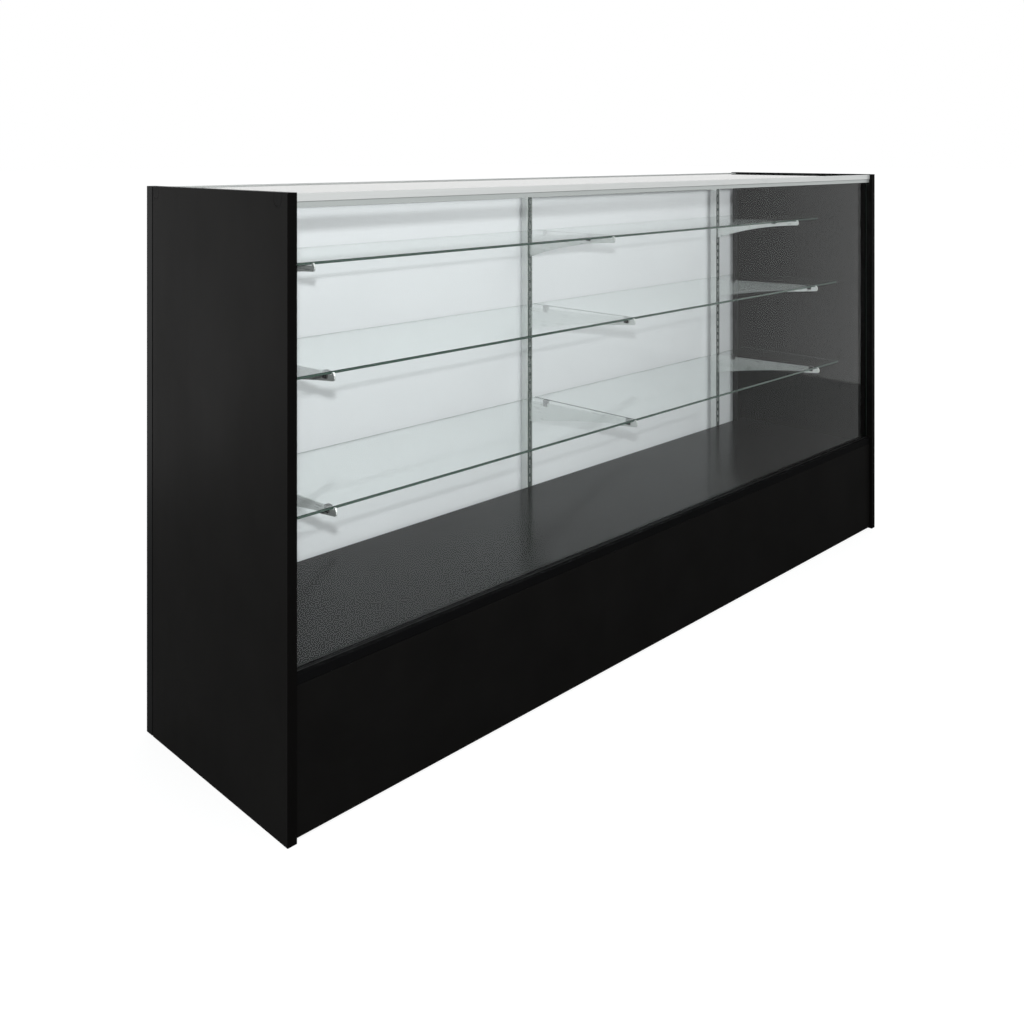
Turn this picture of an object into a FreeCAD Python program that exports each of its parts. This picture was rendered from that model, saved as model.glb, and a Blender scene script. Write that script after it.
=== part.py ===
import FreeCAD, Part

import os
import re

import Sketcher

# A glass display showcase: black laminated board carcass, glass front and top, three rows of
# glass shelves on slotted uprights, and two sliding doors at the back.
#
# Frame: millimetres, +X to the right seen from the front, +Y to the rear, +Z up.
# Origin: on the floor, in the middle of the case's length and depth.
# Each piece is one solid, apart from small like pieces that share a file.

DOC = FreeCAD.newDocument("showcase")
VECTOR = FreeCAD.Vector

# Driving sizes, millimetres unless the note says otherwise.
DRIVING = [
    ("case_length", 1828.8, "over the end panels"),
    ("case_depth", 457.2, "front edge to rear edge of the end panels"),
    ("case_height", 965.2, "floor to the top of the end panels"),
    ("board_thickness", 16, "all laminated boards"),
    ("band_thickness", 1, "plastic edge bands"),
    ("stile_depth", 21, "rear stile, front to back"),
    ("stile_reveal", 2.5, "shadow groove between the end panel and the stile"),
    ("reveal_depth", 5, "depth of that groove, in front of the stile's tongue"),
    ("edge_ease", 0.6, "chamfer on board and stile edges"),
    ("deck_height", 231, "top of the deck"),
    ("floor_clearance", 3, "under the base panels"),
    ("kick_setback", 7, "kick panel behind the front edge of the end panels"),
    ("kick_seam", 1, "shadow line between kick panel and sill rail"),
    ("cleat_width", 18, "deck cleat, square section"),
    ("cleat_inset", 14, "deck cleat short of the boards in front and behind"),
    ("sill_height", 15.5, "front sill rail"),
    ("sill_depth", 22, "front sill rail, front to back"),
    ("sill_lip", 8.6, "sill rail in front of its groove"),
    ("glass_thickness", 6, "front and top glass"),
    ("vinyl_wall", 1, "glazing channel wall"),
    ("vinyl_stand", 0.8, "glazing channel above the sill rail"),
    ("groove_depth", 9, "glass grooves in the sill rail and the top rail"),
    ("dado_depth", 6, "glass dado in the end panels"),
    ("dado_play", 0.5, "beside the glass in the dado"),
    ("glass_play", 1, "glass short of what it ends against"),
    ("rail_setback", 6, "top rail behind the front edge of the end panels"),
    ("rail_height", 20.8, "front top rail"),
    ("rail_depth", 26, "front top rail, front to back"),
    ("rail_drop", 1.7, "top of both rails below the end panels"),
    ("rail_lip", 8, "front top rail in front of the top glass"),
    ("rail_step", 2, "lower part of the front top rail set back"),
    ("rail_step_height", 8, "height of that lower part"),
    ("glass_drop", 2, "top glass below the top of the rails"),
    ("rear_rail_height", 33.5, "rear top rail"),
    ("rear_rail_wall", 2, "rear top rail walls"),
    ("rear_rail_boss", 12, "solid front part of the rear top rail"),
    ("rear_rail_seat", 16, "rear top rail behind the top glass"),
    ("track_height", 14, "door tracks, upper one"),
    ("low_track_height", 12, "door tracks, lower one"),
    ("track_depth", 20, "door tracks, front to back"),
    ("track_wall", 2, "between and beside the door grooves"),
    ("high_groove", 11, "groove depth of the upper track"),
    ("low_groove", 8, "groove depth of the lower track"),
    ("door_thickness", 5, "sliding doors"),
    ("door_play", 1, "on each side of a door in its groove"),
    ("door_lift", 3, "room above a door in the upper groove"),
    ("door_rest", 0.3, "gap under a door"),
    ("door_lap", 20, "each door past the middle of the case"),
    ("jamb_width", 24, "door jamb along the case"),
    ("jamb_wall", 2, "door jamb walls"),
    ("jamb_gap", 1.4, "door short of the jamb's web"),
    ("post_width", 18, "upright"),
    ("post_depth", 18.8, "upright, front to back"),
    ("post_wall", 2, "upright walls"),
    ("post_inset", 129.4, "middle of an outer upright from the end panel beside it"),
    ("slot_width", 4, "slots of the uprights"),
    ("slot_height", 12, "slots of the uprights"),
    ("slot_pitch", 20, "slots of the uprights"),
    ("slot_count", 34, "slots in each upright, a number"),
    ("shelf_thickness", 4.8, "shelf glass"),
    ("shelf_end_gap", 13.4, "shelf row short of the end panels"),
    ("pane_gap", 1, "between the two panes of a row"),
    ("bracket_thickness", 3, "bracket blade"),
    ("bracket_tip", 10, "height of a bracket under the glass edge"),
    ("bracket_nose", 8, "bracket in front of the glass edge"),
    ("bracket_lip", 3.5, "turned-up lip of a bracket"),
    ("bracket_play", 1, "glass behind the lip"),
    ("bracket_cover", 3, "lip above the underside of the glass"),
    ("bracket_rake", 8, "fall of the blade's top edge from the lip to the upright"),
    ("bracket_root", 58, "height of the bracket at the upright"),
    ("long_sweep", 3000, "radius of the hollow lower edge, 12 inch bracket"),
    ("short_sweep", 1000, "the same on the shorter bracket"),
    ("hook_neck", 9, "height of a hook where it passes its slot"),
    ("hook_drop", 5, "hook below its neck"),
    ("hook_thickness", 3, "hook behind the upright's face"),
    ("fit_gap", 0.1, "sliding fit of brackets and hooks"),
    ("cushion_height", 1.5, "rubber between the lip end of a blade and the glass"),
    ("cushion_width", 9, "rubber along the case"),
    ("cushion_length", 11, "rubber along the bracket"),
    ("cushion_legs", 7, "rubber down each side of the blade"),
    ("cushion_inset", 54, "rear cushion in front of the upright"),
    ("long_cushion", 16, "front cushion behind the glass edge, 12 inch bracket"),
    ("short_cushion", 69, "the same on the shorter bracket"),
    ("low_shelf_height", 442, "underside of the lowest row"),
    ("mid_shelf_height", 662, "underside of the middle row"),
    ("top_shelf_height", 836.5, "underside of the top row"),
    ("low_shelf_setback", 96.4, "glass edge behind the front of the case"),
    ("mid_shelf_setback", 101.6, "glass edge behind the front of the case"),
    ("top_shelf_setback", 159.6, "glass edge behind the front of the case"),
    ("low_shelf_depth", 304.8, "12 inch pane"),
    ("mid_shelf_depth", 304.8, "12 inch pane"),
    ("top_shelf_depth", 241.3, "9.5 inch pane"),
    ("long_hook_offset", 18, "upper hook's neck below the blade's top, 12 inch bracket"),
    ("short_hook_offset", 32.5, "the same on the shorter bracket"),
    ("cover_width", 21, "screw covers at the top corners"),
    ("cover_reach", 11, "straight part of a cover"),
    ("cover_thickness", 2, "screw covers"),
    ("cover_gap", 0.5, "around a screw cover"),
    ("cover_inset", 27.6, "middle of a cover from the front edge"),
    ("rear_cover_inset", 35.6, "middle of a rear cover from the rear edge"),
    ("rear_screw_inset", 34.1, "rear rail screw from the rear edge"),
    ("screw_radius", 2, "rail screws"),
    ("screw_head_radius", 4, "rail screws"),
    ("screw_head_height", 3, "rail screws"),
    ("screw_length", 37, "rail screws, under the head"),
    ("dowel_radius", 4, "dowels of the base"),
    ("dowel_bite", 12, "dowel in the end panel"),
    ("dowel_reach", 18, "dowel in the board beside it"),
    ("bolt_radius", 3.5, "cam bolts"),
    ("cam_radius", 7.5, "cam locks"),
    ("cam_height", 12, "cam locks"),
    ("cam_inset", 34, "middle of a cam from the board's end"),
    ("cam_gap", 0.2, "between a cam lock and its bolt"),
    ("pin_radius", 3, "dowels between end panel and stile"),
    ("pin_length", 24, "dowels between end panel and stile"),
    ("post_screw_radius", 2, "screws through the uprights"),
    ("post_screw_length", 18, "screws through the uprights"),
    ("grip_height", 120, "finger grip on a door"),
    ("grip_width", 14, "finger grip on a door"),
    ("grip_stand", 2.4, "finger grip behind the door"),
    ("grip_inset", 60, "middle of a grip from the door's outer edge"),
    ("lock_radius", 9.5, "lock barrel"),
    ("lock_flange", 12, "radius of the lock's flange"),
    ("lock_stand", 2, "lock flange behind the door"),
    ("plug_radius", 7, "key plug"),
    ("plug_gap", 0.15, "around the key plug"),
    ("plug_floor", 2, "barrel in front of the key plug"),
    ("keyway_width", 1.2, "key slot"),
    ("keyway_length", 8, "key slot"),
    ("keyway_depth", 3, "key slot"),
    ("lock_height", 560, "middle of the lock above the floor"),
]

# Places worked out from the driving sizes.
DERIVED = [
    ("half_length", "case_length / 2"),
    ("front_face", "-case_depth / 2"),
    ("rear_face", "case_depth / 2"),
    ("inner_face", "half_length - board_thickness"),
    ("stile_front", "rear_face - stile_depth"),
    ("panel_rear", "stile_front - stile_reveal"),
    ("panel_front", "front_face + band_thickness"),
    ("panel_top", "case_height - band_thickness"),
    ("kick_front", "front_face + kick_setback"),
    ("kick_rear", "kick_front + board_thickness"),
    ("kick_top", "deck_height - kick_seam"),
    ("deck_under", "deck_height - board_thickness"),
    ("track_front", "rear_face - track_depth"),
    ("post_rear", "track_front - 0.45"),
    ("post_front", "post_rear - post_depth"),
    ("post_spacing", "inner_face - post_inset"),
    ("sill_board_top", "deck_under - 9"),
    ("sill_board_under", "sill_board_top - board_thickness"),
    ("base_rear_front", "rear_face - board_thickness"),
    ("groove_front", "kick_front + sill_lip"),
    ("groove_rear", "groove_front + glass_thickness + 2 * vinyl_wall"),
    ("glass_front", "groove_front + vinyl_wall"),
    ("glass_rear", "glass_front + glass_thickness"),
    ("sill_top", "deck_height + sill_height"),
    ("sill_groove_floor", "sill_top - groove_depth"),
    ("rail_front", "front_face + rail_setback"),
    ("rail_rear", "rail_front + rail_depth"),
    ("rail_top", "case_height - rail_drop"),
    ("rail_under", "rail_top - rail_height"),
    ("rail_groove_top", "rail_under + groove_depth"),
    ("glass_seat", "rail_top - glass_drop - glass_thickness"),
    ("rear_rail_under", "rail_top - rear_rail_height"),
    ("rear_rail_lip", "rear_face - rear_rail_seat"),
    ("high_track_under", "rear_rail_under - track_height"),
    ("low_track_top", "sill_board_top + low_track_height"),
    ("door_front_y", "track_front + track_wall + door_play"),
    ("door_rear_y", "door_front_y + door_thickness + 2 * door_play + track_wall"),
    ("door_bottom", "low_track_top - low_groove + door_rest"),
    ("door_top", "high_track_under + high_groove - door_lift"),
    ("door_outer", "inner_face - jamb_wall - jamb_gap"),
    ("jamb_inner", "inner_face - jamb_width"),
    ("slot_first", "low_shelf_height - cushion_height - long_hook_offset - 9 * slot_pitch"),
    ("blade_rear", "post_front - fit_gap"),
    ("hook_front", "post_front + post_wall + fit_gap"),
    ("hook_rear", "hook_front + hook_thickness"),
    ("row_end", "inner_face - shelf_end_gap"),
    ("cover_y", "front_face + cover_inset"),
    ("rear_cover_y", "rear_face - rear_cover_inset"),
    ("cover_round", "cover_width / 2"),
    ("cover_z", "panel_top - cover_reach"),
    ("screw_z", "rail_under + 6.3"),
    ("rear_screw_y", "rear_face - rear_screw_inset"),
    ("rear_screw_z", "rear_rail_under + 19"),
    ("dowel_z", "deck_under + board_thickness / 2"),
    ("kick_y", "kick_front + board_thickness / 2"),
    ("sill_y", "groove_rear + 2.2"),
    ("base_rear_y", "base_rear_front + board_thickness / 2"),
    ("sill_board_z", "sill_board_under + board_thickness / 2"),
    ("stile_pin_x", "(inner_face + half_length - reveal_depth) / 2"),
    ("lock_x", "0"),
    ("door_right_rear", "door_rear_y + door_thickness"),
]

LOW_ROWS = ("low", "mid")
ROWS = ("low", "mid", "top")
COLUMNS = (("left", -1), ("middle", 0), ("right", 1))
SIDES = (("left", -1), ("right", 1))

NODES = {}


def make_sheet(name, rows):
    """Write one sheet: the value in column A under its alias, the note in column B."""
    sheet = DOC.addObject("Spreadsheet::Sheet", name)
    for number, row in enumerate(rows, start=1):
        cell = f"A{number}"
        sheet.set(cell, row[1] if isinstance(row[1], str) else repr(row[1]))
        sheet.setAlias(cell, row[0])
        if len(row) > 2:
            sheet.set(f"B{number}", row[2])
    return sheet


SHEET_OF = {row[0]: "Sizes" for row in DRIVING}
SHEET_OF.update({row[0]: "Places" for row in DERIVED})


def bound(formula, own_sheet=None):
    """Put the sheet's name before each alias in a formula."""
    def refer(found):
        word = found.group(0)
        sheet = SHEET_OF.get(word)
        if sheet is None or sheet == own_sheet:
            return word
        return f"{sheet}.{word}"
    return re.sub(r"[a-z_][a-z0-9_]*", refer, str(formula))


SIZES = make_sheet("Sizes", DRIVING)
PLACES = make_sheet("Places", [(name, "=" + bound(text, "Places")) for name, text in DERIVED])
DOC.recompute()


def value(word):
    """The present value of one alias."""
    return float(DOC.getObject(SHEET_OF[word]).get(word))


def tie(thing, prop, formula):
    thing.setExpression(prop, bound(formula))


def set_base(thing, x, y, z):
    tie(thing, "Placement.Base.x", x)
    tie(thing, "Placement.Base.y", y)
    tie(thing, "Placement.Base.z", z)


def block(name, x, y, z):
    """A box between two places on each axis, each a pair of formulas."""
    box = DOC.addObject("Part::Box", name)
    for prop, (low, high) in (("Length", x), ("Width", y), ("Height", z)):
        tie(box, prop, f"({high}) - ({low})")
    set_base(box, x[0], y[0], z[0])
    return box


TURN_TO_X = FreeCAD.Rotation(VECTOR(0, 1, 0), 90)
TURN_TO_Y = FreeCAD.Rotation(VECTOR(1, 0, 0), -90)
NO_TURN = FreeCAD.Rotation()


def rod(name, radius, length, turn, x, y, z):
    """A cylinder that starts at x, y, z and runs along the turned axis."""
    cylinder = DOC.addObject("Part::Cylinder", name)
    cylinder.Placement = FreeCAD.Placement(VECTOR(0, 0, 0), turn)
    tie(cylinder, "Radius", radius)
    tie(cylinder, "Height", length)
    set_base(cylinder, x, y, z)
    return cylinder


def rod_x(name, radius, low, high, y, z):
    return rod(name, radius, f"({high}) - ({low})", TURN_TO_X, low, y, z)


def rod_y(name, radius, low, high, x, z):
    return rod(name, radius, f"({high}) - ({low})", TURN_TO_Y, x, low, z)


def rod_z(name, radius, low, high, x, y):
    return rod(name, radius, f"({high}) - ({low})", NO_TURN, x, y, low)


def span_x(sign, near, far):
    """The low and high ends along X of a stretch that starts at near on one side of the case."""
    if sign > 0:
        return near, far
    return f"-({far})", f"-({near})"


def group(name, things):
    compound = DOC.addObject("Part::Compound", name)
    compound.Links = things
    return compound


def joined(name, things):
    fuse = DOC.addObject("Part::MultiFuse", name)
    fuse.Shapes = things
    return fuse


def cut(name, base, tools):
    """Take the tools away from the base."""
    result = DOC.addObject("Part::Cut", name)
    result.Base = base
    result.Tool = tools[0] if len(tools) == 1 else joined(name + "_tools", tools)
    return result


def eased(name, base, size, wanted):
    """Chamfer the straight edges of a piece that the test picks by their middle and direction."""
    DOC.recompute()
    chosen = []
    for number, edge in enumerate(base.Shape.Edges, start=1):
        if edge.Curve.TypeId != "Part::GeomLine":
            continue
        middle = edge.valueAt((edge.FirstParameter + edge.LastParameter) / 2)
        if wanted(middle, edge.tangentAt(edge.FirstParameter)):
            chosen.append((number, size, size))
    chamfer = DOC.addObject("Part::Chamfer", name)
    chamfer.Base = base
    chamfer.Edges = chosen
    return chamfer


def keep(name, thing):
    """File a finished piece under its own name."""
    thing.Label = name
    NODES[name] = thing
    return thing


PLANE_ROLES = {"XY": "XY_Plane", "XZ": "XZ_Plane", "YZ": "YZ_Plane"}


def origin_feature(body, role):
    return next(item for item in body.Origin.OriginFeatures if item.Role == role)


def hollow(start, end, radius):
    """An arc between two points that turns clockwise on the way from start to end."""
    way = end.sub(start)
    half = way.Length / 2
    aside = VECTOR(way.y, -way.x, 0).normalize()
    centre = start.add(end).multiply(0.5).add(aside.multiply((radius ** 2 - half ** 2) ** 0.5))
    circle = Part.Circle(centre, VECTOR(0, 0, 1), radius)
    first = circle.parameter(end)
    last = circle.parameter(start)
    return Part.ArcOfCircle(circle, first, last)


def outline(body, name, plane, points, bends=None):
    """A closed sketch through points, each a pair of formulas.

    Its edges are straight, apart from those whose number has a radius in bends.
    """
    sketch = body.newObject("Sketcher::SketchObject", name)
    sketch.AttachmentSupport = [(origin_feature(body, PLANE_ROLES[plane]), "")]
    sketch.MapMode = "FlatFace"
    numbers = [tuple(evaluate(part) for part in point) for point in points]
    count = len(points)
    ends = []
    for index in range(count):
        start = VECTOR(*numbers[index], 0)
        end = VECTOR(*numbers[(index + 1) % count], 0)
        if bends and index in bends:
            sketch.addGeometry(hollow(start, end, evaluate(bends[index])), False)
            ends.append((2, 1))
        else:
            sketch.addGeometry(Part.LineSegment(start, end), False)
            ends.append((1, 2))
    for index in range(count):
        following = (index + 1) % count
        sketch.addConstraint(Sketcher.Constraint("Coincident", index, ends[index][1],
                                                 following, ends[following][0]))
    for index, point in enumerate(points):
        for kind, letter, text, number in zip(("DistanceX", "DistanceY"), "ab", point, numbers[index]):
            place = sketch.addConstraint(
                Sketcher.Constraint(kind, -1, 1, index, ends[index][0], number))
            constraint = f"{letter}{index}"
            sketch.renameConstraint(place, constraint)
            tie(sketch, f"Constraints.{constraint}", text)
    for index, radius in (bends or {}).items():
        place = sketch.addConstraint(Sketcher.Constraint("Radius", index, evaluate(radius)))
        sketch.renameConstraint(place, f"r{index}")
        tie(sketch, f"Constraints.r{index}", radius)
    return sketch


def evaluate(formula):
    """The number that a formula of aliases gives now."""
    names = set(re.findall(r"[a-z_][a-z0-9_]*", str(formula)))
    text = str(formula)
    for name in sorted(names, key=len, reverse=True):
        text = re.sub(rf"\b{name}\b", repr(value(name)), text)
    probe = DOC.getObject("Probe") or DOC.addObject("Spreadsheet::Sheet", "Probe")
    probe.set("A1", "=" + text)
    probe.recompute()
    return float(probe.get("A1"))


def new_body(name):
    return DOC.addObject("PartDesign::Body", name)


def bar(name, points, low, high):
    """A straight extrusion along X of a section in Y and Z."""
    body = new_body(name)
    sketch = outline(body, name + "_section", "YZ", points)
    pad = body.newObject("PartDesign::Pad", name + "_pad")
    pad.Profile = sketch
    tie(pad, "Length", f"({high}) - ({low})")
    tie(body, "Placement.Base.x", low)
    return body


def end_sites(sign, y, z):
    """Where a dowel crosses from a board into an end panel."""
    low, high = span_x(sign, "inner_face - dowel_reach", "inner_face + dowel_bite")
    return low, high, y, z


DOWEL_PLACES = [
    ("kick_low", "kick_y", "floor_clearance + 40"),
    ("kick_high", "kick_y", "kick_top - 60"),
    ("deck_front", "kick_rear + 50", "dowel_z"),
    ("deck_rear", "post_front - 70", "dowel_z"),
    ("base_rear_low", "base_rear_y", "floor_clearance + 40"),
    ("base_rear_high", "base_rear_y", "sill_board_under - 30"),
]

CAM_PLACES = [
    ("kick", "kick_y", "floor_clearance + 100"),
    ("deck_front", "kick_rear + 110", "dowel_z"),
    ("deck_rear", "post_front - 130", "dowel_z"),
    ("base_rear", "base_rear_y", "floor_clearance + 90"),
]

SCREW_PLACES = [
    ("front", "cover_y", "screw_z", "cover_y"),
    ("rear", "rear_screw_y", "rear_screw_z", "rear_cover_y"),
]


def dowels_of(prefix, tag, sides=SIDES):
    """Fresh dowel cylinders of the boards whose place names start with the prefix."""
    found = []
    for side, sign in sides:
        for place, y, z in DOWEL_PLACES:
            if place.startswith(prefix):
                low, high, at_y, at_z = end_sites(sign, y, z)
                found.append(rod_x(f"{tag}_dowel_{place}_{side}", "dowel_radius", low, high, at_y, at_z))
    return found


def cam_bolt(name, sign, y, z, start="inner_face - cam_inset + cam_radius + cam_gap"):
    """A bolt from beside its cam lock into the end panel, or with another start its bore."""
    low, high = span_x(sign, start, "inner_face + 10")
    return rod_x(name, "bolt_radius", low, high, y, z)


def cam_disc(name, place, sign, y, z):
    """A cam lock in the underside of the deck or the inner face of an upright board."""
    x = f"{sign} * (inner_face - cam_inset)"
    if place.startswith("deck"):
        return rod_z(name, "cam_radius", "deck_under", "deck_under + cam_height", x, y)
    if place == "kick":
        return rod_y(name, "cam_radius", "kick_rear - cam_height", "kick_rear", x, z)
    return rod_y(name, "cam_radius", "base_rear_front", "base_rear_front + cam_height", x, z)


def cam_tools(prefix, tag):
    found = []
    for side, sign in SIDES:
        for place, y, z in CAM_PLACES:
            if place.startswith(prefix):
                found.append(cam_bolt(f"{tag}_bolt_{place}_{side}", sign, y, z,
                                      "inner_face - cam_inset"))
                found.append(cam_disc(f"{tag}_cam_{place}_{side}", place, sign, y, z))
    return found


def screw_cover_shape(name, side_sign, y, round_by, deep):
    """A round-bottomed tab that hangs from the top of an end panel, and its pocket."""
    low, high = span_x(side_sign, f"half_length - {deep}", "half_length")
    plate = block(name + "_plate", (low, high), (f"{y} - ({round_by})", f"{y} + {round_by}"),
                  ("cover_z", "panel_top"))
    half_round = rod_x(name + "_round", round_by, low, high, y, "cover_z")
    return joined(name, [plate, half_round])


def make_end_panels():
    for side, sign in SIDES:
        tag = f"end_panel_{side}"
        blank = block(tag + "_blank", span_x(sign, "inner_face", "half_length"),
                      ("panel_front", "panel_rear"), ("0", "panel_top"))
        dado = block(tag + "_dado", span_x(sign, "inner_face", "inner_face + dado_depth"),
                     ("glass_front - dado_play", "glass_rear + dado_play"),
                     ("deck_height", "rail_groove_top + 4"))
        tools = [dado] + dowels_of("kick", tag, [(side, sign)]) + dowels_of("deck", tag, [(side, sign)])
        for place, y, z in CAM_PLACES[:-1]:
            tools.append(cam_bolt(f"{tag}_bolt_{place}", sign, y, z))
        for place, y, z, cover_y in SCREW_PLACES:
            tools.append(screw_cover_shape(f"{tag}_pocket_{place}", sign, cover_y, "cover_round",
                                           "cover_thickness"))
            low, high = span_x(sign, "half_length - cover_thickness - screw_head_height",
                               "half_length - cover_thickness")
            tools.append(rod_x(f"{tag}_sink_{place}", "screw_head_radius", low, high, y, z))
            low, high = span_x(sign, "inner_face - 1",
                               "half_length - cover_thickness - screw_head_height")
            tools.append(rod_x(f"{tag}_bore_{place}", "screw_radius", low, high, y, z))
        for number in range(3):
            tools.append(stile_pin(f"{tag}_pin_{number}", sign, number))
        board = cut(tag + "_board", blank, [joined(tag + "_cuts", tools)])
        outer = sign * value("half_length")
        keep(tag, eased(tag, board, value("edge_ease"),
                        lambda at, way, outer=outer: abs(at.x - outer) < 0.01
                        and abs(way.z) > 0.9 and abs(at.y - value("panel_rear")) < 0.01))


def stile_pin(name, sign, number):
    """One of three dowels that cross from the end panel into the rear stile."""
    height = ("120", "case_height / 2", "case_height - 120")[number]
    middle = "panel_rear + stile_reveal / 2"
    return rod_y(name, "pin_radius", f"{middle} - pin_length / 2", f"{middle} + pin_length / 2",
                 f"{sign} * stile_pin_x", height)


def make_edges():
    for side, sign in SIDES:
        across = span_x(sign, "inner_face", "half_length")
        front = block(f"front_edge_band_{side}", across, ("front_face", "panel_front"),
                      ("0", "panel_top"))
        keep(f"front_edge_band_{side}", front)
        top = block(f"top_edge_band_{side}", across, ("front_face", "panel_rear"),
                    ("panel_top", "case_height"))
        keep(f"top_edge_band_{side}", top)
        tag = f"rear_stile_{side}"
        edge = "edge_ease"
        tongue = "half_length - reveal_depth"
        section = [("inner_face", "panel_rear"), (tongue, "panel_rear"), (tongue, "stile_front"),
                   (f"half_length - {edge}", "stile_front"), ("half_length", f"stile_front + {edge}"),
                   ("half_length", f"rear_face - {edge}"), (f"half_length - {edge}", "rear_face"),
                   ("inner_face", "rear_face")]
        body = new_body(tag + "_strip")
        sketch = outline(body, tag + "_section", "XY",
                         [(f"{sign} * ({x})", y) for x, y in section])
        pad = body.newObject("PartDesign::Pad", tag + "_pad")
        pad.Profile = sketch
        tie(pad, "Length", "case_height")
        holes = [stile_pin(f"stile_{side}_pin_{number}", sign, number) for number in range(3)]
        holes += dowels_of("base_rear", f"stile_{side}", [(side, sign)])
        y, z = CAM_PLACES[-1][1:]
        holes.append(cam_bolt(f"stile_{side}_bolt", sign, y, z))
        keep(tag, cut(tag, body, holes))
    pins = [stile_pin(f"stile_dowel_{side}_{number}", sign, number)
            for side, sign in SIDES for number in range(3)]
    keep("stile_dowels", group("stile_dowels", pins))


def make_base():
    width = ("-inner_face", "inner_face")
    kick = block("kick_panel_blank", width, ("kick_front", "kick_rear"),
                 ("floor_clearance", "kick_top"))
    kick = cut("kick_panel_board", kick, dowels_of("kick", "kick") + cam_tools("kick", "kick"))
    keep("kick_panel", eased("kick_panel", kick, value("edge_ease"),
                             lambda at, way: abs(way.x) > 0.9
                             and abs(at.y - value("kick_front")) < 0.01))
    deck = block("deck_blank", width, ("kick_rear", "post_front"), ("deck_under", "deck_height"))
    posts = post_screw_tools("deck")
    keep("deck_board", cut("deck_board", deck, dowels_of("deck", "deck")
                           + cam_tools("deck", "deck") + posts))
    rear = block("rear_base_blank", width, ("base_rear_front", "rear_face"),
                 ("floor_clearance", "sill_board_under"))
    rear = cut("rear_base_board", rear, dowels_of("base_rear", "base")
               + cam_tools("base_rear", "base"))
    keep("rear_base_panel", eased("rear_base_panel", rear, value("edge_ease"),
                                  lambda at, way: abs(way.x) > 0.9
                                  and abs(at.y - value("rear_face")) < 0.01))
    keep("rear_sill_board", block("rear_sill_board", width, ("post_front", "rear_face"),
                                  ("sill_board_under", "sill_board_top")))
    keep("base_support", block("base_support", ("-board_thickness / 2", "board_thickness / 2"),
                               ("kick_rear", "post_front"), ("floor_clearance", "deck_under")))
    for side, sign in SIDES:
        across = span_x(sign, "inner_face - cleat_width", "inner_face")
        keep(f"deck_cleat_{side}",
             block(f"deck_cleat_{side}", across,
                   ("kick_rear + cleat_inset", "post_front - cleat_inset"),
                   ("deck_under - cleat_width", "deck_under")))
    keep("base_dowels", group("base_dowels", dowels_of("", "loose")))
    bolts = []
    cams = []
    for side, sign in SIDES:
        for place, y, z in CAM_PLACES:
            bolts.append(cam_bolt(f"cam_bolt_{place}_{side}", sign, y, z))
            disc = cam_disc(f"cam_lock_blank_{place}_{side}", place, sign, y, z)
            cams.append(cut(f"cam_lock_{place}_{side}", disc, [cam_slot(place, side, sign, y, z)]))
    keep("cam_bolts", group("cam_bolts", bolts))
    keep("cam_locks", group("cam_locks", cams))


def cam_slot(place, side, sign, y, z):
    """The screwdriver slot in the open face of a cam lock."""
    x = f"{sign} * (inner_face - cam_inset)"
    across = (f"{x} - 5", f"{x} + 5")
    name = f"cam_slot_{place}_{side}"
    if place.startswith("deck"):
        return block(name, across, (f"{y} - 0.8", f"{y} + 0.8"), ("deck_under", "deck_under + 2"))
    if place == "kick":
        return block(name, across, ("kick_rear - 2", "kick_rear"), (f"{z} - 0.8", f"{z} + 0.8"))
    return block(name, across, ("base_rear_front", "base_rear_front + 2"),
                 (f"{z} - 0.8", f"{z} + 0.8"))


def channel_points(floor, top):
    """The section of a U-shaped glazing channel that lines a glass groove."""
    inner = f"({floor}) + vinyl_wall" if top != "rail_under" else f"({floor}) - vinyl_wall"
    return [("groove_front", floor), ("groove_rear", floor), ("groove_rear", top),
            ("glass_rear", top), ("glass_rear", inner), ("glass_front", inner),
            ("glass_front", top), ("groove_front", top)]


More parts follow.
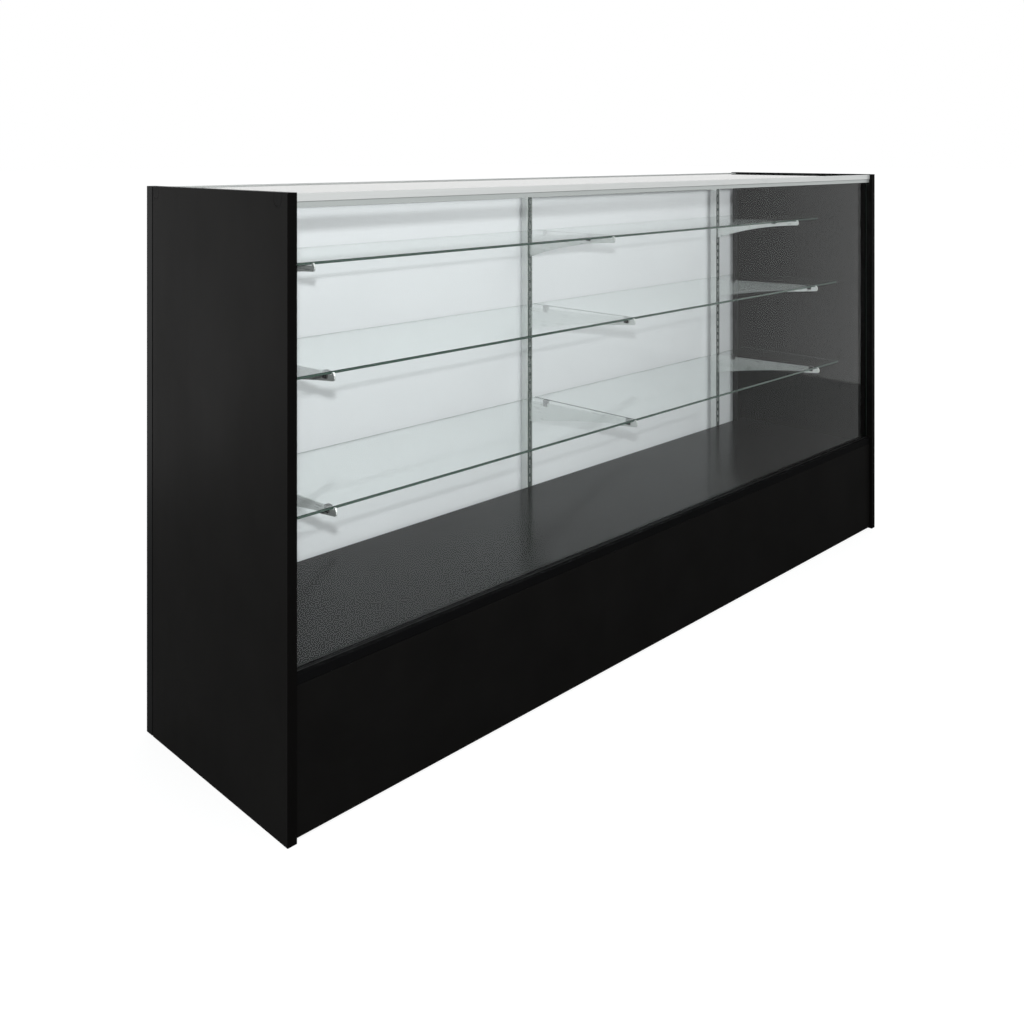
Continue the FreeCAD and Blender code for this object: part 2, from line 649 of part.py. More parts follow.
def make_glazing():
    across = ("-inner_face", "inner_face")
    sill = bar("front_sill_rail", [
        ("kick_front", "deck_height"), ("kick_front + sill_depth", "deck_height"),
        ("kick_front + sill_depth", "sill_top"), ("groove_rear", "sill_top"),
        ("groove_rear", "sill_groove_floor"), ("groove_front", "sill_groove_floor"),
        ("groove_front", "sill_top"), ("kick_front", "sill_top")], *across)
    soften(sill, "front_sill_rail_ease", 1.0, lambda at: at.y < value("kick_front") + 0.01
           and at.z > value("sill_top") - 0.01)
    keep("front_sill_rail", sill)
    keep("sill_glazing_channel", bar("sill_glazing_channel", channel_points(
        "sill_groove_floor", "sill_top + vinyl_stand"), *across))
    rail = bar("front_top_rail", [
        ("rail_front + rail_step", "rail_under"), ("groove_front", "rail_under"),
        ("groove_front", "rail_groove_top"), ("groove_rear", "rail_groove_top"),
        ("groove_rear", "rail_under"), ("rail_rear", "rail_under"), ("rail_rear", "glass_seat"),
        ("rail_front + rail_lip", "glass_seat"), ("rail_front + rail_lip", "rail_top"),
        ("rail_front", "rail_top"), ("rail_front", "rail_under + rail_step_height"),
        ("rail_front + rail_step", "rail_under + rail_step_height")], *across)
    soften(rail, "front_top_rail_ease", 0.8, lambda at: at.y < value("rail_front") + 0.01)
    rail = cut("front_top_rail_bored", rail, rail_bores("front"))
    keep("front_top_rail", rail)
    keep("top_glazing_channel", bar("top_glazing_channel", channel_points(
        "rail_groove_top", "rail_under"), *across))
    rear = bar("rear_top_rail", [
        ("post_front", "rear_rail_under"),
        ("post_front + rear_rail_boss", "rear_rail_under"),
        ("post_front + rear_rail_boss", "glass_seat - rear_rail_wall"),
        ("track_front", "glass_seat - rear_rail_wall"), ("track_front", "rear_rail_under"),
        ("track_front + rear_rail_wall", "rear_rail_under"),
        ("track_front + rear_rail_wall", "glass_seat - rear_rail_wall"),
        ("rear_face - rear_rail_wall", "glass_seat - rear_rail_wall"),
        ("rear_face - rear_rail_wall", "rear_rail_under"), ("rear_face", "rear_rail_under"),
        ("rear_face", "rail_top"), ("rear_rail_lip", "rail_top"),
        ("rear_rail_lip", "glass_seat"), ("post_front", "glass_seat")], *across)
    keep("rear_top_rail", cut("rear_top_rail_bored", rear, rail_bores("rear")))
    front = block("front_glass_blank", ("-(inner_face + dado_depth - glass_play)",
                                        "inner_face + dado_depth - glass_play"),
                  ("glass_front", "glass_rear"),
                  ("sill_groove_floor + vinyl_wall", "rail_groove_top - vinyl_wall"))
    keep("front_glass", front)
    top = block("top_glass_blank", ("-inner_face + glass_play", "inner_face - glass_play"),
                ("rail_front + rail_lip + glass_play", "rear_rail_lip - glass_play"),
                ("glass_seat", "glass_seat + glass_thickness"))
    keep("top_glass", eased("top_glass", top, 0.8, lambda at, way: True))


def soften(body, name, size, wanted):
    """Chamfer the long edges of a bar that the test picks."""
    DOC.recompute()
    solid = body.Tip
    edges = []
    for number, edge in enumerate(solid.Shape.Edges, start=1):
        middle = edge.valueAt((edge.FirstParameter + edge.LastParameter) / 2)
        if abs(edge.tangentAt(edge.FirstParameter).x) > 0.9 and wanted(middle):
            edges.append(f"Edge{number}")
    chamfer = body.newObject("PartDesign::Chamfer", name)
    chamfer.Base = (solid, edges)
    chamfer.Size = size
    body.Tip = chamfer


def rail_bores(where):
    found = []
    for side, sign in SIDES:
        for place, y, z, _ in SCREW_PLACES:
            if place == where:
                low, high = screw_span(sign)
                found.append(rod_x(f"{where}_rail_bore_{side}", "screw_radius", low, high, y, z))
    return found


def screw_span(sign):
    head = "half_length - cover_thickness - screw_head_height"
    return span_x(sign, f"{head} - screw_length", head)


def make_rail_fixings():
    screws = []
    covers = []
    for side, sign in SIDES:
        for place, y, z, cover_y in SCREW_PLACES:
            low, high = screw_span(sign)
            shank = rod_x(f"rail_screw_shank_{place}_{side}", "screw_radius", low, high, y, z)
            low, high = span_x(sign, "half_length - cover_thickness - screw_head_height",
                               "half_length - cover_thickness")
            head = rod_x(f"rail_screw_head_{place}_{side}", "screw_head_radius", low, high, y, z)
            screws.append(joined(f"rail_screw_{place}_{side}", [shank, head]))
            covers.append(screw_cover_shape(f"screw_cover_{place}_{side}", sign, cover_y,
                                            "cover_round - cover_gap", "cover_thickness"))
    keep("rail_screws", group("rail_screws", screws))
    keep("screw_covers", group("screw_covers", covers))


POST_SCREWS = ("deck_under + board_thickness / 2", "rear_rail_under + 9")


def post_screw(name, column, height):
    """A screw from behind an upright, through its face, into the board in front of it."""
    return rod_y(name, "post_screw_radius", "post_front + post_wall - post_screw_length",
                 "post_front + post_wall", f"{column} * post_spacing", height)


def post_screw_tools(tag):
    return [post_screw(f"{tag}_post_bore_{name}", sign, POST_SCREWS[0]) for name, sign in COLUMNS]


def make_uprights():
    for name, sign in COLUMNS:
        tag = f"upright_{name}"
        body = new_body(tag)
        half = "post_width / 2"
        inside = "post_width / 2 - post_wall"
        section = outline(body, tag + "_section", "XY", [
            (f"-{half}", "post_front"), (half, "post_front"), (half, "post_rear"),
            (inside, "post_rear"), (inside, "post_front + post_wall"),
            (f"-({inside})", "post_front + post_wall"), (f"-({inside})", "post_rear"),
            (f"-{half}", "post_rear")])
        pad = body.newObject("PartDesign::Pad", tag + "_pad")
        pad.Profile = section
        tie(pad, "Length", "rear_rail_under - sill_board_top")
        DOC.recompute()
        slot = outline(body, tag + "_slot", "XZ", [
            ("-slot_width / 2", "slot_first - sill_board_top"),
            ("slot_width / 2", "slot_first - sill_board_top"),
            ("slot_width / 2", "slot_first - sill_board_top + slot_height"),
            ("-slot_width / 2", "slot_first - sill_board_top + slot_height")])
        tie(slot, "AttachmentOffset.Base.z", "-(post_front - 1)")
        pocket = body.newObject("PartDesign::Pocket", tag + "_pocket")
        pocket.Profile = slot
        pocket.Reversed = False
        tie(pocket, "Length", "post_wall + 2")
        bore = body.newObject("Sketcher::SketchObject", tag + "_bore")
        bore.AttachmentSupport = [(origin_feature(body, "XZ_Plane"), "")]
        bore.MapMode = "FlatFace"
        tie(bore, "AttachmentOffset.Base.z", "-(post_front - 1)")
        height = evaluate(f"{POST_SCREWS[0]} - sill_board_top")
        bore.addGeometry(Part.Circle(VECTOR(0, height, 0), VECTOR(0, 0, 1),
                                     value("post_screw_radius")), False)
        bore.addConstraint(Sketcher.Constraint("PointOnObject", 0, 3, -2))
        place = bore.addConstraint(Sketcher.Constraint("DistanceY", -1, 1, 0, 3, height))
        bore.renameConstraint(place, "height")
        tie(bore, "Constraints.height", f"{POST_SCREWS[0]} - sill_board_top")
        place = bore.addConstraint(Sketcher.Constraint("Radius", 0, value("post_screw_radius")))
        bore.renameConstraint(place, "radius")
        tie(bore, "Constraints.radius", "post_screw_radius")
        before = len(pad.Shape.Faces)
        pattern = body.newObject("PartDesign::LinearPattern", tag + "_slots")
        pattern.Originals = [pocket]
        pattern.Direction = (origin_feature(body, "Z_Axis"), [""])
        pattern.Mode = "Spacing"
        tie(pattern, "Offset", "slot_pitch")
        tie(pattern, "Occurrences", "slot_count")
        body.Tip = pattern
        hole = body.newObject("PartDesign::Pocket", tag + "_hole")
        hole.Profile = bore
        tie(hole, "Length", "post_wall + 2")
        body.Tip = hole
        set_base(body, f"{sign} * post_spacing", "0", "sill_board_top")
        DOC.recompute()
        print(tag, "faces", before, "to", len(body.Shape.Faces))
        keep(tag, body)
    screws = [post_screw(f"post_screw_{name}", sign, POST_SCREWS[0]) for name, sign in COLUMNS]
    keep("upright_screws", group("upright_screws", screws))


def make_brackets():
    cushions = []
    for row in ROWS:
        size = "long" if row in LOW_ROWS else "short"
        blade_top = f"({row}_shelf_height - cushion_height)"
        edge = f"(front_face + {row}_shelf_setback)"
        hooks = []
        for number in (1, 0):
            neck = f"({blade_top} - {size}_hook_offset - {number} * slot_pitch)"
            hooks += [("blade_rear", neck), ("hook_front", neck),
                      ("hook_front", f"{neck} - hook_drop"), ("hook_rear", f"{neck} - hook_drop"),
                      ("hook_rear", f"{neck} + hook_neck"), ("blade_rear", f"{neck} + hook_neck")]
        lip_rear = f"({edge} - bracket_play)"
        lip_top = f"{row}_shelf_height + bracket_cover"
        points = [("blade_rear", f"{blade_top} - bracket_root")] + hooks + [
            ("blade_rear", f"{blade_top} - bracket_rake"), (lip_rear, blade_top),
            (lip_rear, lip_top), (f"{lip_rear} - bracket_lip", lip_top),
            (f"{edge} - bracket_nose", f"{blade_top} - 1"),
            (f"{edge} - bracket_nose", f"{blade_top} - bracket_tip + 4"),
            (f"{edge} - bracket_nose + 4", f"{blade_top} - bracket_tip")]
        for column, sign in COLUMNS:
            tag = f"bracket_{row}_{column}"
            body = new_body(tag)
            sketch = outline(body, tag + "_profile", "YZ", points,
                             {len(points) - 1: f"{size}_sweep"})
            pad = body.newObject("PartDesign::Pad", tag + "_pad")
            pad.Profile = sketch
            pad.SideType = "Symmetric"
            tie(pad, "Length", "bracket_thickness")
            tie(body, "Placement.Base.x", f"{sign} * post_spacing")
            keep(tag, body)
            for place, y in (("rear", "(post_front - cushion_inset)"),
                             ("front", f"({edge} + {size}_cushion)")):
                cushions.append(cushion(f"cushion_{row}_{column}_{place}", sign, y, row,
                                        blade_top, lip_rear))
    keep("bracket_cushions", group("bracket_cushions", cushions))


def cushion(name, sign, y, row, blade_top, lip_rear):
    """A rubber saddle that fills the wedge between a blade's sloping top and the glass."""
    fore = f"({y} - cushion_length / 2)"
    seat = f"({blade_top} - bracket_rake * ({fore} - {lip_rear}) / (blade_rear - {lip_rear}))"
    along = (fore, f"{y} + cushion_length / 2")
    middle = f"{sign} * post_spacing"
    blank = block(name + "_blank", (f"{middle} - cushion_width / 2", f"{middle} + cushion_width / 2"),
                  along, (f"{seat} - cushion_legs", f"{row}_shelf_height"))
    half = "(bracket_thickness / 2 + fit_gap)"
    slot = block(name + "_slot", (f"{middle} - {half}", f"{middle} + {half}"),
                 (f"{fore} - 1", f"{y} + cushion_length / 2 + 1"),
                 (f"{seat} - cushion_legs - 1", seat))
    return cut(name, blank, [slot])


def make_shelves():
    for row in ROWS:
        for side, sign in SIDES:
            tag = f"shelf_{row}_{side}"
            edge = f"front_face + {row}_shelf_setback"
            pane = block(tag + "_blank", span_x(sign, "pane_gap / 2", "row_end"),
                         (edge, f"{edge} + {row}_shelf_depth"),
                         (f"{row}_shelf_height", f"{row}_shelf_height + shelf_thickness"))
            keep(tag, eased(tag, pane, 0.6, lambda at, way: True))


def make_tracks():
    """Double tracks and the channels beside the doors, each a web with its walls face to face."""
    across = ("-jamb_inner", "jamb_inner")
    clear = "door_thickness + 2 * door_play"
    middle = f"track_front + track_wall + {clear}"
    walls = (("front", "track_front", "track_front + track_wall"),
             ("middle", middle, f"{middle} + track_wall"),
             ("rear", f"{middle} + track_wall + {clear}", "rear_face"))

    def track(name, web, grooves):
        """One track from the heights of its web and of the walls between its grooves."""
        solids = [block(name + "_web", across, ("track_front", "rear_face"), web)]
        for place, low, high in walls:
            solids.append(block(f"{name}_{place}_wall", across, (low, high), grooves))
        keep(name, group(name, solids))

    high_floor = "high_track_under + high_groove"
    low_floor = "low_track_top - low_groove"
    track("door_top_track", (high_floor, "rear_rail_under"), ("high_track_under", high_floor))
    track("door_bottom_track", ("sill_board_top", low_floor), (low_floor, "low_track_top"))
    for side, sign in SIDES:
        tag = f"door_jamb_{side}"
        height = ("sill_board_top", "rear_rail_under")
        pocket = span_x(sign, "jamb_inner", "inner_face - jamb_wall")
        keep(tag, group(tag, [
            block(tag + "_web", span_x(sign, "inner_face - jamb_wall", "inner_face"),
                  ("stile_front", "rear_face"), height),
            block(tag + "_front_wall", pocket, ("stile_front", "stile_front + jamb_wall"), height),
            block(tag + "_rear_wall", pocket, ("rear_face - track_wall + 0.2", "rear_face"), height)]))


def make_doors():
    places = {"left": "door_front_y", "right": "door_rear_y"}
    for side, sign in SIDES:
        tag = f"door_{side}"
        y = places[side]
        across = span_x(sign, "-door_lap", "door_outer")
        panel = block(tag + "_blank", across, (y, f"{y} + door_thickness"), ("door_bottom", "door_top"))
        if side == "right":
            panel = cut(tag + "_bored", panel, [
                rod_y(tag + "_bore", "lock_radius", f"{y} - 1", f"{y} + door_thickness + 1",
                      "lock_x", "lock_height")])
        keep(tag, panel)
        middle = f"{sign} * (door_outer - grip_inset)"
        grip = block(f"door_grip_{side}_blank", (f"{middle} - grip_width / 2", f"{middle} + grip_width / 2"),
                     (f"{y} + door_thickness", f"{y} + door_thickness + grip_stand"),
                     ("lock_height - grip_height / 2", "lock_height + grip_height / 2"))
        face = value(y) + value("door_thickness") + value("grip_stand")
        keep(f"door_grip_{side}", eased(f"door_grip_{side}", grip, 1.0,
                                        lambda at, way, face=face: abs(at.y - face) < 0.01))


def make_lock():
    barrel = rod_y("lock_barrel_body", "lock_radius", "door_rear_y", "door_right_rear", "lock_x",
                   "lock_height")
    flange = rod_y("lock_barrel_flange", "lock_flange", "door_right_rear",
                   "door_right_rear + lock_stand", "lock_x", "lock_height")
    bore = rod_y("lock_barrel_bore", "plug_radius + plug_gap", "door_rear_y + plug_floor",
                 "door_right_rear + lock_stand + 1", "lock_x", "lock_height")
    keep("lock_barrel", cut("lock_barrel", joined("lock_barrel_solid", [barrel, flange]), [bore]))
    plug = rod_y("key_plug_body", "plug_radius", "door_rear_y + plug_floor + plug_gap",
                 "door_right_rear + lock_stand", "lock_x", "lock_height")
    slot = block("key_plug_slot", ("lock_x - keyway_width / 2", "lock_x + keyway_width / 2"),
                 ("door_right_rear + lock_stand - keyway_depth", "door_right_rear + lock_stand + 1"),
                 ("lock_height - keyway_length / 2", "lock_height + keyway_length / 2"))
    keep("key_plug", cut("key_plug", plug, [slot]))


def check_and_write():
    """Stop on any failed object or bad shape, then write one file for each piece."""
    DOC.recompute()
    for thing in DOC.Objects:
        if "Invalid" in thing.State or "Error" in thing.State:
            raise RuntimeError(f"{thing.Label} failed: {thing.State}")
    for name, thing in NODES.items():
        shape = thing.Shape
        if shape.isNull() or not shape.isValid() or not shape.Solids:
            raise RuntimeError(f"{name} has no valid solid")
    os.makedirs("parts", exist_ok=True)
    for name, thing in NODES.items():
        thing.Shape.exportStep(os.path.join("parts", name + ".step"))
    print(len(NODES), "pieces written")


make_end_panels()
make_edges()
make_base()
make_glazing()
make_rail_fixings()
make_uprights()
make_brackets()
make_shelves()
make_tracks()
make_doors()
make_lock()
check_and_write()
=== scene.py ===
import math

import bpy
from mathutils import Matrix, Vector

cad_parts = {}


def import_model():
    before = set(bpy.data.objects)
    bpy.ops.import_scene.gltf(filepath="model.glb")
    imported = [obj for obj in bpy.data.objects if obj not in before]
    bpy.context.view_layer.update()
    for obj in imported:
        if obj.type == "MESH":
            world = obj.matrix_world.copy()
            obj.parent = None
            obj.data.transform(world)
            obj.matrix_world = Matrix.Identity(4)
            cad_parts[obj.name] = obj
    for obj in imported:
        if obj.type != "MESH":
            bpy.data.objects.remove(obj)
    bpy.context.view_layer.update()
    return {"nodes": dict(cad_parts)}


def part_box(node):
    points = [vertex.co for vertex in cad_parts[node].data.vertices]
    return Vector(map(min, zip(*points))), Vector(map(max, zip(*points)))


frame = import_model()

NODES = frame["nodes"]
SCENE = bpy.context.scene

# Lengths are metres, and colours are linear.
BLACK = (0.0054, 0.005, 0.0048)
CLEAR = (0.985, 0.992, 0.99, 1)

# A noise keeps mostly between these two, and a ramp over them uses its whole contrast.
NOISE_LOW = 0.3
NOISE_HIGH = 0.7

# Drawn or rolled lines: noise that is long along one direction and very fine across it.
LINES_ALONG_X = (4.0, 1800.0, 1800.0)
LINES_ALONG_Y = (900.0, 8.0, 900.0)
LINES_ALONG_Z = (900.0, 900.0, 6.0)
JAMB_LINES = (1500.0, 1500.0, 3.0)
CAST_GRAIN = (200.0, 200.0, 200.0)
POLISH_GRAIN = (60.0, 60.0, 60.0)
BEECH_GRAIN = (40.0, 900.0, 900.0)
GROUND_EDGE = (400.0, 400.0, 400.0)
POLISHED_EDGE = (30.0, 30.0, 900.0)

# Upright: the slotted face, darkened by painted shade, stops this far from its sides, where the
# painted highlight on the bends begins.
BEND_WIDTH = 0.0022
FACE_DEPTH = 0.0004

# Front top rail: the lower lip, darkened by painted shade, with the ledge above it.
LIP_HEIGHT = 0.0082
LIP_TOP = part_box("front_top_rail")[0][2] + LIP_HEIGHT
NO_LIP = 0.0

# Studio.
FLOOR_REACH = 60.0
FLOOR_DROP = 0.0005
FLOOR_PAINT = ((0.27, 0.27, 0.27, 1), (0.29, 0.29, 0.29, 1))
FLOOR_LIFT = 0.79
WALL_RIGHT = 2.5
WALL_BEHIND = 1.6
WALL_FRONT = -5.0
WALL_FADE = 0.05
WORLD_WHITE = ((1, 1, 1, 1), 1.0)
WORLD_SOFT = ((0.98, 1.0, 1.0, 1), 0.88)

# Camera: verticals are upright in the photograph, so the lens is level and shifted.
EYE = (-1.7564, -1.5829, 1.0242)
EYE_YAW = -46.5
FOCAL_LENGTH = 36.893
SENSOR_WIDTH = 36.0
LENS_SHIFT = (-0.0484, -0.351)


class Shader:
    """A node material with short calls for the nodes used here."""

    def __init__(self, name):
        self.material = bpy.data.materials.new(name)
        self.material.use_nodes = True
        self.tree = self.material.node_tree
        self.tree.nodes.clear()
        self.output = self.tree.nodes.new("ShaderNodeOutputMaterial")
        self.place = self.tree.nodes.new("ShaderNodeTexCoord").outputs["Object"]

    def put(self, socket, value):
        """Links a socket to the input, or writes a plain value on it."""
        if isinstance(value, bpy.types.NodeSocket):
            self.tree.links.new(value, socket)
        else:
            socket.default_value = value

    def node(self, kind, settings=None, **values):
        made = self.tree.nodes.new("ShaderNode" + kind)
        for key, setting in (settings or {}).items():
            setattr(made, key, setting)
        for key, value in values.items():
            self.put(made.inputs[key.replace("_", " ")], value)
        return made

    def math(self, operation, first, second=0.0):
        made = self.node("Math", {"operation": operation})
        self.put(made.inputs[0], first)
        self.put(made.inputs[1], second)
        return made.outputs[0]

    def ramp(self, value, low, high, to_low=0.0, to_high=1.0):
        made = self.node("MapRange", Value=value, From_Min=low, From_Max=high, To_Min=to_low,
                         To_Max=to_high)
        return made.outputs[0]

    def spread(self, noise, to_low=0.0, to_high=1.0):
        """Stretches a noise over its usual span."""
        return self.ramp(noise, NOISE_LOW, NOISE_HIGH, to_low, to_high)

    def noise(self, scale, detail=3.0, stretch=(1.0, 1.0, 1.0), rough=0.55):
        mapped = self.node("Mapping", Vector=self.place, Scale=stretch)
        made = self.node("TexNoise", Vector=mapped.outputs[0], Scale=scale, Detail=detail,
                         Roughness=rough)
        return made.outputs["Fac"]

    def lines(self, stretch):
        """Noise whose size is wholly in its stretch."""
        return self.noise(1.0, 3.0, stretch, 0.6)

    def blend(self, factor, first, second):
        made = self.node("Mix", {"data_type": "RGBA"})
        for socket, value in ((made.inputs[0], factor), (made.inputs[6], first),
                              (made.inputs[7], second)):
            self.put(socket, value)
        return made.outputs[2]

    def split(self, vector):
        return self.node("SeparateXYZ", Vector=vector).outputs

    def axis(self, letter):
        return self.split(self.place)[letter]

    def facing(self):
        """The face's own normal, without bump or smoothing."""
        return self.split(self.node("NewGeometry").outputs["True Normal"])

    def bump(self, height, distance, strength):
        return self.node("Bump", Strength=strength, Distance=distance, Height=height).outputs[0]

    def principled(self, color, roughness, metallic=0.0, specular=0.5, **more):
        made = self.node("BsdfPrincipled", Base_Color=color, Roughness=roughness,
                         Metallic=metallic, Specular_IOR_Level=specular, **more)
        return made.outputs[0]

    def mixed(self, factor, first, second):
        made = self.node("MixShader")
        for socket, value in zip(made.inputs, (factor, first, second)):
            self.put(socket, value)
        return made.outputs[0]

    def finish(self, surface):
        self.put(self.output.inputs["Surface"], surface)
        return self.material


def shade(color, by):
    return tuple(min(part * by, 1) for part in color[:3]) + (1,)


def laminate(name, color, roughness, specular):
    """Melamine laminate: a fine pebbled satin with faint handling marks."""
    s = Shader(name)
    cloud = s.noise(9.0, 4.0)
    speck = s.noise(900.0, 2.0)
    tone = s.blend(s.spread(cloud), shade(color, 0.86), shade(color, 1.14))
    tone = s.blend(s.ramp(speck, 0.62, 0.8, 0.0, 0.3), tone, shade(color, 1.7))
    smear = s.noise(5.0, 5.0, (1.0, 1.0, 0.25), 0.65)
    rough = s.spread(smear, roughness - 0.05, roughness + 0.06)
    pebble = s.noise(2600.0, 2.0)
    return s.finish(s.principled(tone, rough, 0.0, specular, Normal=s.bump(pebble, 0.00004, 0.05)))


def plastic(name, color, roughness, specular=0.4, grain=1800.0):
    """Moulded or extruded plastic with a fine matt grain."""
    s = Shader(name)
    tone = s.blend(s.noise(40.0), shade(color, 0.85), shade(color, 1.15))
    rough = s.spread(s.noise(70.0), roughness - 0.06, roughness + 0.06)
    normal = s.bump(s.noise(grain, 2.0), 0.0001, 0.35)
    return s.finish(s.principled(tone, rough, 0.0, specular, Normal=normal))


def metal(name, color, roughness, stretch, spread=0.06, metallic=1.0):
    """Rolled or extruded metal with fine lines along its length."""
    s = Shader(name)
    lines = s.lines(stretch)
    cloud = s.noise(30.0, 4.0)
    tone = s.blend(s.spread(lines), shade(color, 0.93), shade(color, 1.05))
    tone = s.blend(s.ramp(cloud, 0.55, 0.75, 0.0, 0.35), tone, shade(color, 0.82))
    rough = s.ramp(s.math("ADD", lines, cloud), 0.7, 1.3, roughness - spread, roughness + spread)
    return s.finish(s.principled(tone, rough, metallic, 0.5, Normal=s.bump(lines, 0.00003, 0.4)))


def post_metal(name, node):
    """Zinc-plated upright: painted shade on its slotted face and web, painted highlight on its
    bends and sides.
    """
    s = Shader(name)
    low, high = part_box(node)
    forward = s.math("LESS_THAN", s.facing()["Y"], -0.5)
    outside = s.math("LESS_THAN", s.axis("Y"), low[1] + FACE_DEPTH)
    beside = s.math("SUBTRACT", s.axis("X"), (low[0] + high[0]) / 2)
    half_face = (high[0] - low[0]) / 2 - BEND_WIDTH
    flat = s.math("LESS_THAN", s.math("ABSOLUTE", beside), half_face)
    front = s.math("MULTIPLY", s.math("MULTIPLY", forward, outside), flat)
    web = s.math("MULTIPLY", s.math("SUBTRACT", 1.0, outside), forward)
    mottle = s.noise(330.0, 4.0, (1.0, 1.0, 0.6), 0.7)
    lines = s.lines(LINES_ALONG_Z)
    # Painted shade: the flat slotted face is darkened, standing in for the dark room it reflects;
    # its mottle is the zinc's own.
    painted_shade_face = s.blend(s.ramp(mottle, 0.35, 0.65), (0.045, 0.056, 0.052, 1), (0.15, 0.175, 0.165, 1))
    # Painted highlight on the bends and sides, with a mid painted shade on the web behind the
    # face.
    painted_side_tones = s.blend(s.spread(lines), (0.57, 0.585, 0.58, 1), (0.67, 0.685, 0.68, 1))
    painted_side_tones = s.blend(web, painted_side_tones, (0.3, 0.32, 0.315, 1))
    tone = s.blend(front, painted_side_tones, painted_shade_face)
    rough = s.spread(mottle, 0.32, 0.5)
    return s.finish(s.principled(tone, rough, 0.35, 0.5, Normal=s.bump(lines, 0.00004, 0.4)))


def rail_metal(name, lip_top=NO_LIP):
    """Satin anodised aluminium with drawn lines, with painted shade below lip_top."""
    s = Shader(name)
    lines = s.lines(LINES_ALONG_X)
    cloud = s.noise(22.0, 4.0, (0.4, 1.0, 1.0))
    below = s.math("LESS_THAN", s.axis("Z"), lip_top)
    upper = s.blend(s.spread(lines), (0.505, 0.518, 0.511, 1), (0.567, 0.58, 0.573, 1))
    # Painted shade: the lip below lip_top is darker, standing in for the shade on its recessed,
    # downward faces.
    painted_shade_lip = s.blend(s.spread(lines), (0.352, 0.376, 0.368, 1), (0.41, 0.434, 0.426, 1))
    tone = s.blend(below, upper, painted_shade_lip)
    tone = s.blend(s.ramp(cloud, 0.55, 0.75, 0.0, 0.25), tone, (0.39, 0.41, 0.405, 1))
    rough = s.ramp(s.math("ADD", lines, cloud), 0.7, 1.3, 0.3, 0.42)
    return s.finish(s.principled(tone, rough, 0.5, 0.5, Normal=s.bump(lines, 0.00003, 0.4)))


def pane(name, ior, tint, edge_tones, edge_rough, flat_axis, streaks):
    """Float glass: clear through its faces, with given tones on its cut edges: the shelves' own
    green, painted shade on the front pane and painted light on the top pane.
    """
    s = Shader(name)
    clear = s.node("BsdfGlass", Color=tint, Roughness=0.0, IOR=ior).outputs[0]
    through = s.node("BsdfTransparent", Color=CLEAR).outputs[0]
    light = s.node("LightPath")
    lets = s.math("MAXIMUM", light.outputs["Is Shadow Ray"], light.outputs["Is Diffuse Ray"])
    edge = s.math("LESS_THAN", s.math("ABSOLUTE", s.facing()[flat_axis]), 0.3)
    streak = s.lines(streaks)
    rough = s.spread(streak, edge_rough - 0.05, edge_rough + 0.05)
    rim = s.principled(s.blend(streak, *edge_tones), rough, 0.0, 0.3)
    return s.finish(s.mixed(edge, s.mixed(lets, clear, through), rim))


def door_board(name):
    """White painted hardboard: an even satin with a faint roller texture."""
    s = Shader(name)
    cloud = s.noise(3.0, 4.0)
    tone = s.blend(s.spread(cloud), (0.82, 0.83, 0.85, 1), (0.85, 0.86, 0.88, 1))
    rough = s.spread(s.noise(14.0, 4.0), 0.4, 0.52)
    peel = s.noise(420.0, 2.0)
    return s.finish(s.principled(tone, rough, 0.0, 0.4, Normal=s.bump(peel, 0.0002, 0.25)))


def chipboard(name):
    """Bare particle board: chips of three browns, matt."""
    s = Shader(name)
    mapped = s.node("Mapping", Vector=s.place, Scale=(1.0, 1.0, 1.6))
    cells = s.node("TexVoronoi", Vector=mapped.outputs[0], Scale=420.0)
    chip = s.node("SeparateColor", Color=cells.outputs["Color"]).outputs
    tone = s.blend(chip[0], (0.36, 0.25, 0.15, 1), (0.62, 0.48, 0.31, 1))
    tone = s.blend(s.ramp(chip[1], 0.7, 1.0, 0.0, 0.7), tone, (0.2, 0.13, 0.08, 1))
    normal = s.bump(cells.outputs["Distance"], 0.0006, 0.4)
    return s.finish(s.principled(tone, 0.85, 0.0, 0.2, Normal=normal))


def beech(name):
    """Beech dowel: fine grain along the case."""
    s = Shader(name)
    grain = s.noise(1.0, 4.0, BEECH_GRAIN, 0.6)
    tone = s.blend(s.spread(grain), (0.55, 0.38, 0.22, 1), (0.72, 0.54, 0.34, 1))
    return s.finish(s.principled(tone, 0.6, 0.0, 0.3, Normal=s.bump(grain, 0.0001, 0.3)))


